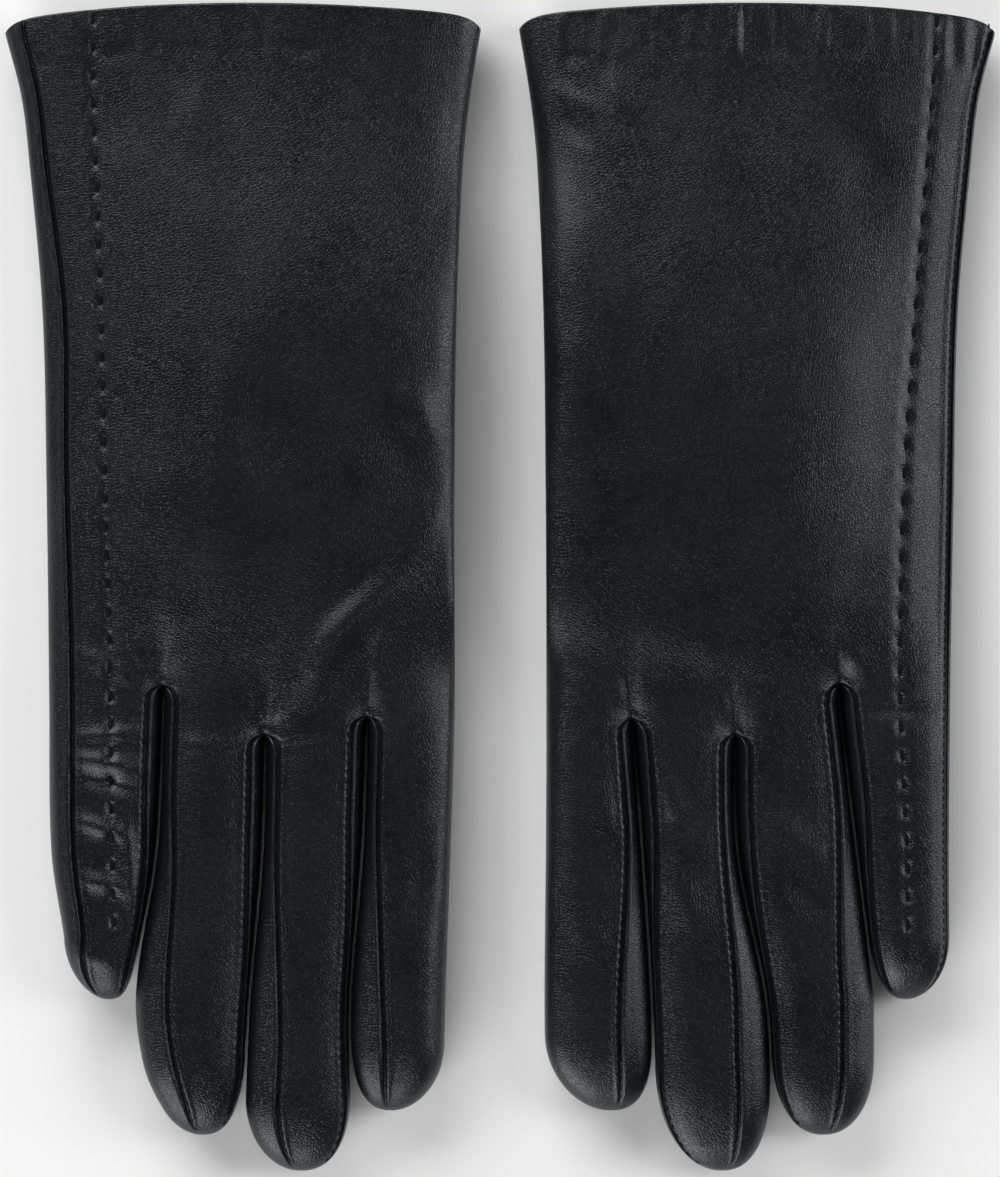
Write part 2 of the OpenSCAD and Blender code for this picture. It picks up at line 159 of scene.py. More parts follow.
GLOVES = {
    "left": {
        "way": 1,
        "lines": (
            ((-112, -44.3), (-89, -44.6), (-57, -44.3), (-25, -44.2)),
            ((-112, -20.6), (-89, -21.3), (-57, -23.3), (-25, -25.8)),
            ((-112, 5), (-89, 3.6), (-57, -2.6), (-25, -3.2)),
            ((-89, 27.3), (-57, 23.3), (-25, 19.5)),
            ((-75, 43.3), (-57, 43.2), (-25, 43.5)),
        ),
        "tip_u": (-30, -5.9, 16.1, 33.9),
        "tip_run": (17, 22, 17, 14),
        "crotch": (-28.0, -28.3, -31.5, -20.7, -21.0),
        "row": (
            (-78, 33.9),
            (-57, 33.7),
            (-22, 32.2),
            (19, 32.8),
            (63, 35.7),
            (95, 38.3),
            (121, 40.2),
        ),
        "outseam": ((-89, 1.0), (-40, 1.1), (126, 1.1)),
        "shelf": ((0, -41), (30, -37), (57, -31), (104, -23)),
        "creases": (
            (-33, 104, -40, 46, 5.0, 0.25),
            (-12, 104, -17, 40, 6.0, 0.3),
            (-40, 56, -35, 38, 4.0, 0.6),
            (-40, 92, -38, 62, 5.0, 0.7),
            (-42, -18, -36, -22, 4.0, 0.8),
            (-18, -8, -6, -15, 5.0, 0.7),
            (-6, -15, 4, -14, 5.0, 0.4),
            (17, -10, 24, -18, 3.0, 0.6),
            (24, -26, 40, -27, 1.6, -0.5),
            (-20, -38, -15, -50, 2.6, 0.7),
            (-18, -52, -9, -47, 2.6, -0.5),
            (-17, -62, -12, -72, 4.0, 0.8),
            (5, -50, 14, -58, 3.0, 0.6),
            (8, -62, 16, -70, 3.0, -0.5),
            (-34, -45, -28, -54, 3.5, 0.7),
            (-38, -70, -34, -80, 3.5, 0.7),
            (20, 97, 24, 86, 7.0, -0.9),
            (28, 96, 32, 80, 5.0, 0.4),
            (-42, 108, -33, 103, 2.0, 0.5),
            (-41, 102, -35, 97, 2.0, -0.4),
            (-30, 112, -27, 104, 2.0, 0.5),
        ),
    },
    "right": {
        "way": -1,
        "lines": (
            ((-112, -42), (-89, -42.4), (-57, -43.5), (-25, -44.4)),
            ((-112, -22), (-89, -21.7), (-57, -24.3), (-25, -25.4)),
            ((-112, 1.4), (-89, 0.2), (-57, -2.6), (-25, -3.3)),
            ((-112, 22), (-89, 25.2), (-57, 20.4), (-25, 18.9)),
            ((-75, 40.5), (-57, 43.2), (-25, 43.7)),
        ),
        "tip_u": (-30.4, -11.1, 10.4, 30.7),
        "tip_run": (15, 17, 17, 15),
        "crotch": (-28.0, -27.6, -31.5, -20.9, -21.0),
        "row": (
            (-78, 29.1),
            (-46, 29.8),
            (-22, 30),
            (19, 30.9),
            (63, 32),
            (106, 33.7),
            (121, 33.7),
        ),
        "outseam": (
            (-89, 3.0),
            (-70, 5.0),
            (-20, 5.4),
            (30, 4.8),
            (60, 5.2),
            (95, 4.0),
            (126, 4.5),
        ),
        "creases": (
            (-5, -27, -32, 3, 3.8, 2.3),
            (-28, -3, -44, 20, 3.6, 0.8),
            (-16, -26, -36, -4, 3.2, -1.0),
            (-26, -22, -31, -6, 1.8, 0.6),
            (-35, 42, -39, 34, 4.0, 1.0),
            (-31, 34, -36, 22, 4.0, -0.5),
            (5, 50, 3, 22, 6.0, 0.6),
            (-2, 48, -4, 24, 6.0, -0.5),
            (24, -20, 38, -13, 2.2, 0.7),
            (22, -31, 38, -32, 1.6, 0.8),
            (22, -39.5, 40, -36, 1.9, 1.1),
            (24, -44, 37, -40.5, 1.6, -0.9),
            (26, -54, 38, -50, 1.7, 1.1),
            (26, -65, 37, -62, 1.8, 1.0),
            (25.5, -48, 25, -78, 1.6, 1.1),
            (30, -82, 38, -78, 2.0, 0.6),
            (6, -34, 18, -33, 2.0, 0.4),
            (-18, -34, -6, -36, 2.5, 0.4),
            (-36, -52, -38, -74, 3.0, -0.5),
            (10, 108, 12, 98, 4.0, 0.4),
        ),
    },
}


def mix(a, b, t):
    return a + (b - a) * t


def clip(t, low=0.0, high=1.0):
    return max(low, min(high, t))


def ease(t):
    t = clip(t)
    return t * t * (3 - 2 * t)


def power(x, n):
    return math.copysign(abs(x) ** n, x)


def rounding(t, n):
    return max(0.0, 1 - abs(t) ** n) ** (1 / n)


def along(rows, y):
    """Value of a drafted line at y, eased through its points."""
    if y <= rows[0][0]:
        return rows[0][1]
    if y >= rows[-1][0]:
        return rows[-1][1]
    k = 0
    while rows[k + 1][0] < y:
        k += 1
    y0, v0 = rows[k]
    y1, v1 = rows[k + 1]
    before = rows[k - 1] if k else rows[0]
    after = rows[k + 2] if k + 2 < len(rows) else rows[-1]
    span = y1 - y0
    m0 = (v1 - before[1]) / (y1 - before[0]) * span
    m1 = (after[1] - v0) / (after[0] - y0) * span
    t = (y - y0) / span
    a = 2 * t**3 - 3 * t**2 + 1
    b = t**3 - 2 * t**2 + t
    c = 3 * t**2 - 2 * t**3
    d = t**3 - t**2
    return a * v0 + b * m0 + c * v1 + d * m1


def over_thumb(y):
    return ease((y + 21) / 20) * (1 - ease((y - 64) / 34))


def cuff_line(s):
    return CUFF_Y - (2.6 if s < 0 else 3.6) * s * s - 2.2 * abs(s) ** 24


def index_side(glove, y):
    return along(glove["lines"][0] + INDEX_EDGE, y)


def little_side(glove, y):
    return along(glove["lines"][4] + LITTLE_EDGE, y)


def across(glove, u, y):
    """Where u lies across the hand, from -1 on the index side to 1 on the little-finger side."""
    low = index_side(glove, y)
    high = little_side(glove, y)
    return clip((2 * u - low - high) / (high - low), -1, 1)


def line_u(glove, k, y):
    """Line k between the fingers, carried up through the hand as a share of its width."""
    if k == 0:
        return index_side(glove, y)
    if k == 4:
        return little_side(glove, y)
    below = along(glove["lines"][k], y)
    share = (glove["lines"][k][-1][1] + KNUCKLE_HALF) / KNUCKLE_WIDTH
    hand = mix(index_side(glove, y), little_side(glove, y), share)
    return mix(below, hand, ease((y + 25) / 40))


def crease_lift(glove, u, y):
    """Folds: each runs from (u0, y0) to (u1, y1), falls off sideways over its width and fades out."""
    wander = noise.noise(Vector((u * 0.05, y * 0.05, 9.0 * glove["way"])))
    lift = 0.0
    for u0, y0, u1, y1, width, height in glove["creases"]:
        du, dy = u1 - u0, y1 - y0
        length = math.hypot(du, dy)
        reach = length / 2 + 1.5 * width
        t = ((u - u0) * du + (y - y0) * dy) / length - length / 2
        if abs(t) >= reach:
            continue
        side = ((u - u0) * dy - (y - y0) * du) / length + 0.6 * wander * width
        if abs(side) > 3 * width:
            continue
        lift += height * (1 - (t / reach) ** 2) ** 2 * math.exp(-((side / width) ** 2))
    return lift


def hem_lift(glove, u, y):
    """Soft puckers of the band where the leather is turned in."""
    below = cuff_line(across(glove, u, y)) - y
    band = ease(below / 2) * (1 - ease((below - 8) / 5))
    if band <= 0:
        return 0.0
    strength = 0.7 if glove["way"] > 0 else 0.2
    pucker = noise.noise(Vector((u * 0.42, y * 0.05, 3.0 * glove["way"])))
    wide = noise.noise(Vector((u * 0.12, 7.0, 3.0 * glove["way"])))
    step = -0.4 * clip(wide + 0.1) * math.exp(-(((below - 10) / 1.5) ** 2))
    return strength * pucker * band + step


def soft_lift(glove, u, y):
    seed = 17.0 * glove["way"]
    broad = noise.noise(Vector((u * 0.035, y * 0.024, seed)))
    small = noise.noise(Vector((u * 0.11, y * 0.07, seed + 5)))
    return 0.8 * broad + 0.2 * small


def stitch_places(glove):
    """How far along the hand each decorative stitch sits, from the cuff down."""
    places = []
    y = cuff_line(across(glove, glove["row"][-1][1], CUFF_READ_Y)) - ROW_START
    while y > ROW_END_Y:
        places.append(y)
        y -= ROW_PITCH
    return places


def pit_lift(glove, u, y):
    """The decorative stitches pull the leather down and gather it round each end."""
    off = u - along(glove["row"], y)
    if abs(off) > 6 or y < -80:
        return 0.0
    lift = -0.22 * math.exp(-((off / 1.6) ** 2))
    for place_y in glove["places"]:
        dy = y - place_y
        if abs(dy) > 5:
            continue
        along_y = max(0.0, abs(dy) - 0.8)
        lift -= 0.55 * math.exp(-((off / 0.8) ** 2) - (along_y / 0.6) ** 2)
        lift += 0.1 * math.exp(-(((abs(off) - 2.0) / 0.9) ** 2) - (dy / 1.6) ** 2)
    return lift


def seam_dip(distance):
    """A seam is a groove with a low ridge beside it."""
    dip = -0.75 * math.exp(-((distance / 0.42) ** 2))
    return dip + 0.3 * math.exp(-(((distance - 1.1) / 0.5) ** 2))


def root_y(glove, k, share):
    """Where the fingers part, between line k and the next one."""
    return mix(glove["crotch"][k], glove["crotch"][k + 1], share)


def finger_edges(glove, f, y):
    return line_u(glove, f, y), line_u(glove, f + 1, y)


def inset_of(glove, f, outer, y, palm):
    """Distance from a finger's edge to its seam."""
    k = f + 1 if outer else f
    depth = glove["crotch"][k] - y
    if k in (0, 4) or depth <= 0:
        return 0.0
    opening = CROTCH_OPENING * math.sqrt(
        max(0.0, 1 - (1 - min(depth, CROTCH_ROUND) / CROTCH_ROUND) ** 2)
    )
    if outer != palm:
        return opening + (4.4 if outer else 3.4) * ease((depth - 20) / 50)
    return opening - 1.9 * ease((depth - 20) / 35)


def tip_shape(glove, f, u, z, y):
    """Rounds a finger off toward its tip."""
    run = glove["tip_run"][f]
    start = TIP_Y[f] + run
    if y >= start:
        return u, z
    t = (start - y) / run
    q = rounding(t, TIP_N)
    low, high = finger_edges(glove, f, y)
    centre = (low + high) / 2
    to = mix(centre, glove["tip_u"][f], t * t)
    height = mix(FINGER_H / 2, TIP_Z, t * t)
    return to + (u - centre) * q, height + (z - FINGER_H / 2) * q**0.8


def finger_rise(glove, f, u, y):
    """Height of a finger's back or palm over the middle of its section."""
    low, high = finger_edges(glove, f, y)
    s = (2 * u - low - high) / (high - low)
    limit = SECTION_LIMIT
    if f == 0 and s < 0 or f == 3 and s > 0:
        limit = 1.0
    s = clip(s, -limit, limit)
    return FINGER_H / 2 * rounding(s, SECTION_N)


def parted(glove, f, u, y):
    """0 where the leather is still the hand, 1 where it is a finger of its own."""
    low, high = finger_edges(glove, f, y)
    share = clip((u - low) / (high - low))
    return ease((root_y(glove, f, share) + 20 - y) / 34)


def back_height(glove, f, u, y):
    s = across(glove, u, y)
    fold = over_thumb(y)
    p = max(0.0, 1 - abs(s) ** 3) ** (1 / 2.4)
    edge = mix(FINGER_H / 2, FOLD_Z, fold * (1 - ease((s + 1) / 1.4)))
    crown = mix(FINGER_H, HAND_H, ease((y + 30) / 30))
    swell = ease((y + 34) / 60) * (1 - ease((y - 42) / 80))
    crown += THUMB_RISE * swell * (1 - ease((s - 0.1) / 0.9))
    hand = mix(edge, crown, p)
    finger = FINGER_H / 2 + finger_rise(glove, f, u, y)
    return mix(hand, finger, parted(glove, f, u, y))


def palm_height(glove, f, u, y):
    s = across(glove, u, y)
    fold = over_thumb(y)
    p = max(0.0, 1 - abs(s) ** 3) ** (1 / 2.4)
    edge = mix(FINGER_H / 2, FOLD_Z, fold * (1 - ease((s + 1) / 1.4)))
    sole = PALM_LIFT * fold * (1 - ease((u - 10) / 26))
    hand = mix(edge, sole, p)
    finger = FINGER_H / 2 - finger_rise(glove, f, u, y)
    return mix(hand, finger, parted(glove, f, u, y))


def edge_fade(glove, f, u, y):
    low, high = finger_edges(glove, f, y)
    fade = 1.0
    if f == 0:
        fade = ease((u - low) / 4)
    if f == 3:
        fade = min(fade, ease((high - u) / 4))
    return fade


def shelf_rise(glove, u, y):
    """The index side of the left hand stands higher than the middle of its back."""
    if "shelf" not in glove or y < 0:
        return 0.0
    up = ease((along(glove["shelf"], y) - u + 7) / 14)
    return 0.9 * up * ease(y / 25) * ease((114 - y) / 20)


def back_relief(glove, f, u, y):
    fade = edge_fade(glove, f, u, y)
    lift = crease_lift(glove, u, y) + soft_lift(glove, u, y) + shelf_rise(glove, u, y)
    lift *= fade
    lift += hem_lift(glove, u, y) * mix(0.4, 1.0, fade)
    lift += pit_lift(glove, u, y)
    return lift * ease((y - TIP_Y[f]) / 10)


# ---- Cutting and sewing ----


def spread(t, p, q):
    """Crowds the columns of a panel toward its two edges."""
    a = t**p
    b = (1 - t) ** q
    return a / (a + b)


def fineness():
    return 1.0


def hand_rows():
    """Rows shared by every panel, from the cuff to below the lowest crotch."""
    fine = fineness()
    cuff = round(16 * fine)
    rows = [("cuff", i / cuff) for i in range(cuff)]
    steps = round(160 * fine)
    rows += [("level", mix(CUFF_ROWS_Y, ROOT_ROWS_Y, i / steps)) for i in range(steps)]
    steps = round(32 * fine)
    rows += [("level", mix(ROOT_ROWS_Y, FINGER_ROWS_Y, i / steps)) for i in range(steps + 1)]
    return rows


def finger_rows(glove, f):
    """A finger's own rows, closing up toward its tip."""
    fine = fineness()
    run = glove["tip_run"][f]
    start = TIP_Y[f] + run
    steps = max(2, round((FINGER_ROWS_Y - start) * 1.75 * fine))
    rows = [("level", mix(FINGER_ROWS_Y, start, i / steps)) for i in range(1, steps + 1)]
    steps = round(1.6 * run * fine)
    for i in range(1, steps + 1):
        rows.append(("level", start - run * math.sin(math.pi / 2 * i / steps)))
    return rows


def row_place(glove, row, u_at):
    """Place (u, y) on a row, where u_at gives u from y."""
    kind, value = row
    if kind == "level":
        return u_at(value), value
    s = across(glove, u_at(CUFF_READ_Y), CUFF_READ_Y)
    y = mix(cuff_line(s) - 0.5, CUFF_ROWS_Y, value)
    return u_at(y), y


def seam_u(glove, f, outer, y, palm):
    low, high = finger_edges(glove, f, y)
    inset = inset_of(glove, f, outer, y, palm)
    return high - inset if outer else low + inset


def outseam_u(glove, y):
    return line_u(glove, 4, y) - along(glove["outseam"], y)


def crotch_dip(glove, k, u, y):
    """The leather is drawn down where two fingers part."""
    if k in (0, 4):
        return 0.0
    above = y - glove["crotch"][k]
    away = math.hypot(u - line_u(glove, k, y), above - 1)
    return -0.55 * math.exp(-((away / 3.2) ** 2)) * ease((above + 4) / 4)


def scallop(depth, away):
    """Each machine stitch draws the edge of the panel in a little."""
    if depth < 0 or away > 2.5:
        return 0.0
    wave = -math.cos(2 * math.pi * (depth - FIRST_STITCH) / SEAM_PITCH)
    return 0.13 * wave * math.exp(-(((away - 0.8) / 0.6) ** 2))


def seam_lift(glove, f, u, y, palm):
    lift = 0.0
    for outer in (False, True):
        k = f + 1 if outer else f
        if k in (0, 4):
            continue
        depth = glove["crotch"][k] - y
        if depth > -12:
            away = abs(u - seam_u(glove, f, outer, y, palm))
            away = math.hypot(away, max(0.0, -depth))
            lift += seam_dip(away) * ease((y - TIP_Y[f]) / 3)
            lift += crotch_dip(glove, k, u, y)
            lift += scallop(depth, away)
    if f == 3 and not palm:
        away = abs(u - outseam_u(glove, y))
        fade = ease((y - TIP_Y[f]) / 3)
        lift += 1.25 * seam_dip(away) * fade * ease((cuff_line(0.95) - y) / 2 + 0.3)
    return lift


def back_place(glove, f, u, y):
    z = back_height(glove, f, u, y)
    z += back_relief(glove, f, u, y) + seam_lift(glove, f, u, y, False)
    to, z = tip_shape(glove, f, u, z, y)
    return Vector((to, y, z))


def palm_place(glove, f, u, y):
    z = palm_height(glove, f, u, y)
    fade = edge_fade(glove, f, u, y)
    z += PALM_SOFTNESS * soft_lift(glove, u, -y) * fade - seam_lift(glove, f, u, y, True)
    to, z = tip_shape(glove, f, u, max(z, 0.05), y)
    return Vector((to, y, z))


def wall_place(glove, f, outer, y, w):
    """A point of a fourchette, from the seam on the back (w 0) to the seam on the palm (w 1)."""
    k = f + 1 if outer else f
    way = 1 if outer else -1
    low, high = finger_edges(glove, f, y)
    half = (high - low) / 2
    edge = high if outer else low
    depth = glove["crotch"][k] - y
    rim = edge - way * 0.3 * ease(depth / 5)
    top_u = seam_u(glove, f, outer, y, False)
    palm_u = seam_u(glove, f, outer, y, True)
    top_z = back_height(glove, f, top_u, y) + back_relief(glove, f, top_u, y)
    palm_z = palm_height(glove, f, palm_u, y) + PALM_SOFTNESS * soft_lift(glove, palm_u, -y)
    top_s = min(SECTION_LIMIT, 1 - abs(edge - top_u) / half)
    palm_s = min(SECTION_LIMIT, 1 - abs(edge - palm_u) / half)
    top_angle = math.acos(top_s ** (SECTION_N / 2))
    palm_angle = math.acos(palm_s ** (SECTION_N / 2))
    angle = mix(top_angle, -palm_angle, w)
    middle = FINGER_H / 2
    out = math.cos(angle) ** (2 / SECTION_N)
    if angle >= 0:
        share = math.sin(angle) ** (2 / SECTION_N) / math.sin(top_angle) ** (2 / SECTION_N)
        u = mix(top_u, rim, (out - top_s) / (1 - top_s))
        z = middle + (top_z - middle) * share
    else:
        share = math.sin(-angle) ** (2 / SECTION_N) / math.sin(palm_angle) ** (2 / SECTION_N)
        u = mix(palm_u, rim, (out - palm_s) / (1 - palm_s))
        z = middle - (middle - palm_z) * share
    fade = ease((y - TIP_Y[f]) / 3)
    sink = crotch_dip(glove, k, u, y) * (1 - 2 * w)
    dip = seam_dip(math.hypot(u - top_u, z - top_z)) - seam_dip(math.hypot(u - palm_u, z - palm_z))
    z += dip * fade + sink
    to, z = tip_shape(glove, f, u, z, y)
    return Vector((to, y, z))


def sheet(bm, columns, rows, place):
    """One panel, with place(t, row) giving where each corner of its mesh goes."""
    made = bmesh.ops.create_grid(bm, x_segments=columns, y_segments=rows, size=1)["verts"]
    for vert in made:
        t = clip((vert.co.x + 1) / 2)
        v = clip((vert.co.y + 1) / 2)
        vert.co = place(t, round(v * rows))
    return made


def tag(bm, verts, part):
    layer = bm.faces.layers.int["part"]
    done = set(verts)
    for face in bm.faces:
        if face[layer] == 0 and face.verts[0] in done:
            face[layer] = part


LEATHER_PART = 1
FOURCHETTE_PART = 2


def back_panels(glove):
    """Each stretch of the back: finger, left edge, right edge, columns and crowding."""

    def edge(k):
        return lambda y: line_u(glove, k, y)

    def seam(f, outer):
        return lambda y: seam_u(glove, f, outer, y, False)

    def row(y):
        return along(glove["row"], y)

    def outseam(y):
        return outseam_u(glove, y)

    return (
        (0, edge(0), seam(0, True), 34, 1.9, 1.5),
        (1, seam(1, False), seam(1, True), 28, 1.5, 1.5),
        (2, seam(2, False), seam(2, True), 28, 1.5, 1.5),
        (3, seam(3, False), row, 18, 1.5, 1.4),
        (3, row, outseam, 16, 1.4, 1.5),
        (3, outseam, edge(4), 12, 1.4, 1.7),
    )


def palm_panels(glove):
    def edge(k):
        return lambda y: line_u(glove, k, y)

    def seam(f, outer):
        return lambda y: seam_u(glove, f, outer, y, True)

    return (
        (0, edge(0), seam(0, True), 30, 1.9, 1.5),
        (1, seam(1, False), seam(1, True), 20, 1.5, 1.5),
        (2, seam(2, False), seam(2, True), 20, 1.5, 1.5),
        (3, seam(3, False), edge(4), 28, 1.5, 1.9),
    )


def sew_panel(bm, glove, panel, surface):
    f, left, right, columns, p, q = panel
    columns = max(4, round(columns * fineness()))
    rows = hand_rows() + finger_rows(glove, f)

    def place(t, i):
        share = spread(t, p, q)
        u, y = row_place(glove, rows[i], lambda y: mix(left(y), right(y), share))
        return surface(glove, f, u, y)

    made = sheet(bm, columns, len(rows) - 1, place)
    tag(bm, made, LEATHER_PART)


def sew_wall(bm, glove, f, outer):
    k = f + 1 if outer else f
    columns = round(22 * fineness())
    levels = [row[1] for row in hand_rows() + finger_rows(glove, f) if row[0] == "level"]
    below = [y for y in levels if y < glove["crotch"][k]]
    above = min(y for y in levels if y >= glove["crotch"][k])
    levels = [above] + below

    def place(t, i):
        return wall_place(glove, f, outer, levels[i], spread(t, 1.4, 1.4))

    made = sheet(bm, columns, len(levels) - 1, place)
    tag(bm, made, FOURCHETTE_PART)


def body_of_face(glove, centre):
    """0 for the hand, 1 to 4 for the fingers from the index."""
    u, y = centre.x, centre.y
    if y > ROOT_ROWS_Y:
        return 0
    lines = [line_u(glove, k, y) for k in (1, 2, 3)]
    f = sum(1 for line in lines if u > line)
    low = line_u(glove, f, y)
    high = line_u(glove, f + 1, y)
    root = root_y(glove, f, clip((u - low) / (high - low)))
    return f + 1 if y < root else 0


def to_world(bm, glove):
    way = glove["way"]
    for vert in bm.verts:
        vert.co = Vector((way * (PAIR_HALF + vert.co.x), vert.co.y, vert.co.z)) * MM


def face_outward(bm):
    bmesh.ops.recalc_face_normals(bm, faces=bm.faces)
    top = max(bm.faces, key=lambda face: face.calc_center_median().z)
    if top.normal.z < 0:
        bmesh.ops.reverse_faces(bm, faces=bm.faces)


def glove_shell(glove):
    """The whole outside of a glove as one sewn mesh, in glove coordinates."""
    bm = bmesh.new()
    bm.faces.layers.int.new("part")
    body = bm.faces.layers.int.new("body")
    for panel in back_panels(glove):
        sew_panel(bm, glove, panel, back_place)
    for panel in palm_panels(glove):
        sew_panel(bm, glove, panel, palm_place)
    for f, outer in ((0, True), (1, False), (1, True), (2, False), (2, True), (3, False)):
        sew_wall(bm, glove, f, outer)
    bmesh.ops.remove_doubles(bm, verts=bm.verts, dist=WELD)
    bmesh.ops.dissolve_degenerate(bm, edges=bm.edges, dist=0.004)
    for face in bm.faces:
        face[body] = body_of_face(glove, face.calc_center_median())
        face.smooth = True
    to_world(bm, glove)
    face_outward(bm)
    bm.normal_update()
    normal = bm.verts.layers.float_vector.new("lay")
    for vert in bm.verts:
        vert[normal] = vert.normal
    return bm


def new_piece(name, bm, material):
    mesh = bpy.data.meshes.new(name)
    bm.to_mesh(mesh)
    bm.free()
    mesh.materials.append(material)
    piece = bpy.data.objects.new(name, mesh)
    bpy.context.scene.collection.objects.link(piece)
    return piece


def cut_piece(shell, name, part, body, material):
    """One piece of a sewn shell, keeping the shading it had in the whole."""
    bm = shell.copy()
    part_layer = bm.faces.layers.int["part"]
    body_layer = bm.faces.layers.int["body"]
    away = [face for face in bm.faces if face[part_layer] != part or face[body_layer] != body]
    bmesh.ops.delete(bm, geom=away, context="FACES")
    piece = new_piece(name, bm, material)
    mesh = piece.data
    lay = [tuple(item.vector) for item in mesh.attributes["lay"].data]
    mesh.normals_split_custom_set_from_vertices(lay)
    for layer in ("lay", "part", "body"):
        mesh.attributes.remove(mesh.attributes[layer])
    return piece


def world_point(glove, u, y, z):
    return Vector((glove["way"] * (PAIR_HALF + u), y, z)) * MM


def bend_with(piece, glove, f):
    """Bakes the transform of a finger's piece; the line across its root is worked out but not used,
    and nothing is bent.
    """
    k0, k1 = glove["crotch"][f], glove["crotch"][f + 1]
    u0 = line_u(glove, f, k0)
    u1 = line_u(glove, f + 1, k1)
    run = Vector((u1 - u0, k1 - k0, 0)).normalized()
    down = Vector((run.y, -run.x, 0))
    start = Vector(((u0 + u1) / 2, (k0 + k1) / 2, 7))
    end = start + down * BEND_RUN
    tuple(world_point(glove, *start))
    tuple(world_point(glove, *end))
    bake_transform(piece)


def make_leather(side):
    """The leather of one glove: a piece for the hand, and two for each finger."""
    glove = GLOVES[side]
    leather = leather_material()
    shell = glove_shell(glove)
    piece = cut_piece(shell, side + "_hand_leather", LEATHER_PART, 0, leather)
    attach(piece, side + "_hand")
    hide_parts(side + "_trank_back", side + "_trank_palm")
    panels = (
        ("index_trank", "index_lining"),
        ("middle_back", "middle_palm", "middle_lining"),
        ("ring_back", "ring_palm", "ring_lining"),
        ("little_back", "little_palm", "little_lining"),
    )
    walls = (
        ("index_fourchette",),
        ("middle_inner_fourchette", "middle_outer_fourchette"),
        ("ring_inner_fourchette", "ring_outer_fourchette"),
        ("little_fourchette",),
    )
    for f, finger in enumerate(FINGERS):
        name = side + "_" + finger
        piece = cut_piece(shell, name + "_leather", LEATHER_PART, f + 1, leather)
        bend_with(piece, glove, f)
        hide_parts(*[side + "_" + node for node in panels[f]])
        piece = cut_piece(shell, name + "_fourchettes", FOURCHETTE_PART, f + 1, leather)
        bend_with(piece, glove, f)
        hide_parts(*[side + "_" + node for node in walls[f]])
    shell.free()


# ---- Cuff ----


def mouth_point(glove, t, depth, inset):
    """A point round the mouth, t going once round from the index edge over the back."""
    top = t < 0.5
    turn = t * 2 if top else 2 - t * 2
    s = -math.cos(math.pi * turn)
    s = mix(s, power(s, 0.8), 0.3)
    y = cuff_line(s) - depth
    low = index_side(glove, y)
    high = little_side(glove, y)
    plain_u = mix(low, high, (s + 1) / 2)
    u = mix(low + inset, high - inset, (s + 1) / 2)
    f = 0 if s < -0.5 else 1 if s < 0 else 2 if s < 0.45 else 3
    p = max(0.0, 1 - abs(s) ** 3) ** (1 / 2.4)
    level = max(depth, 0.5)
    at = cuff_line(s) - level
    if top:
        z = back_place(glove, f, plain_u, at).z - inset * p
    else:
        z = palm_place(glove, f, plain_u, at).z + inset * p
    return Vector((u, y, z))


def mouth_ring(bm, glove, columns, path):
    """A band that goes once round the mouth, following path inward."""

    def place(t, i):
        return mouth_point(glove, t % 1.0, *path[i])

    made = sheet(bm, columns, len(path) - 1, place)
    bmesh.ops.remove_doubles(bm, verts=made, dist=FINE_WELD)


def make_hem(side):
    """The leather turned in at the wrist."""
    glove = GLOVES[side]
    bm = bmesh.new()
    mouth_ring(bm, glove, round(220 * fineness()), HEM_PATH)
    finish_soft(bm, glove)
    piece = new_piece(side + "_cuff_hem_turned", bm, leather_material())
    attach(piece, side + "_hand")
    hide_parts(side + "_cuff_hem")


def make_sock(side):
    """The part of the lining that shows in the cuff, closed where it goes out of sight."""
    glove = GLOVES[side]
    bm = bmesh.new()
    mouth_ring(bm, glove, round(160 * fineness()), SOCK_PATH)
    rims = [edge for edge in bm.edges if edge.is_boundary]
    deep = [edge for edge in rims if max(v.co.y for v in edge.verts) < CUFF_Y - 40]
    bmesh.ops.holes_fill(bm, edges=deep, sides=0)
    finish_soft(bm, glove)
    piece = new_piece(side + "_hand_lining_sock", bm, lining_material())
    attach(piece, side + "_hand")
    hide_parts(side + "_hand_lining")


def finish_soft(bm, glove, inward=True):
    to_world(bm, glove)
    for face in bm.faces:
        face.smooth = True
    bmesh.ops.recalc_face_normals(bm, faces=bm.faces)
    if inward:
        bmesh.ops.reverse_faces(bm, faces=bm.faces)


# ---- Stitches ----


def add_stitch(bm, at, run, size, sides=6, rings=4):
    """One stitch of thread lying along run."""
    across_run = run.cross(Vector((0, 0, 1)))
    if across_run.length < 1e-6:
        across_run = Vector((1, 0, 0))
    across_run.normalize()
    up = across_run.cross(run).normalized()
    turn = Matrix((run.normalized(), across_run, up)).transposed().to_4x4()
    shape = Matrix.Diagonal((size[0] / 2, size[1] / 2, size[2] / 2, 1))
    place = Matrix.Translation(at) @ turn @ shape @ Matrix.Rotation(math.pi / 2, 4, "Y")
    bmesh.ops.create_uvsphere(bm, u_segments=sides, v_segments=rings, radius=1, matrix=place)


def thread_piece(name, bm, glove):
    finish_soft(bm, glove, inward=False)
    piece = new_piece(name, bm, thread_material())
    return piece


def stitch_place(glove, f, line, y, step, palm=False):
    """Middle and direction of a stitch on a line of the back or the palm."""
    surface = palm_place if palm else back_place
    a = surface(glove, f, line(y + step / 2), y + step / 2)
    b = surface(glove, f, line(y - step / 2), y - step / 2)
    return (a + b) / 2, b - a


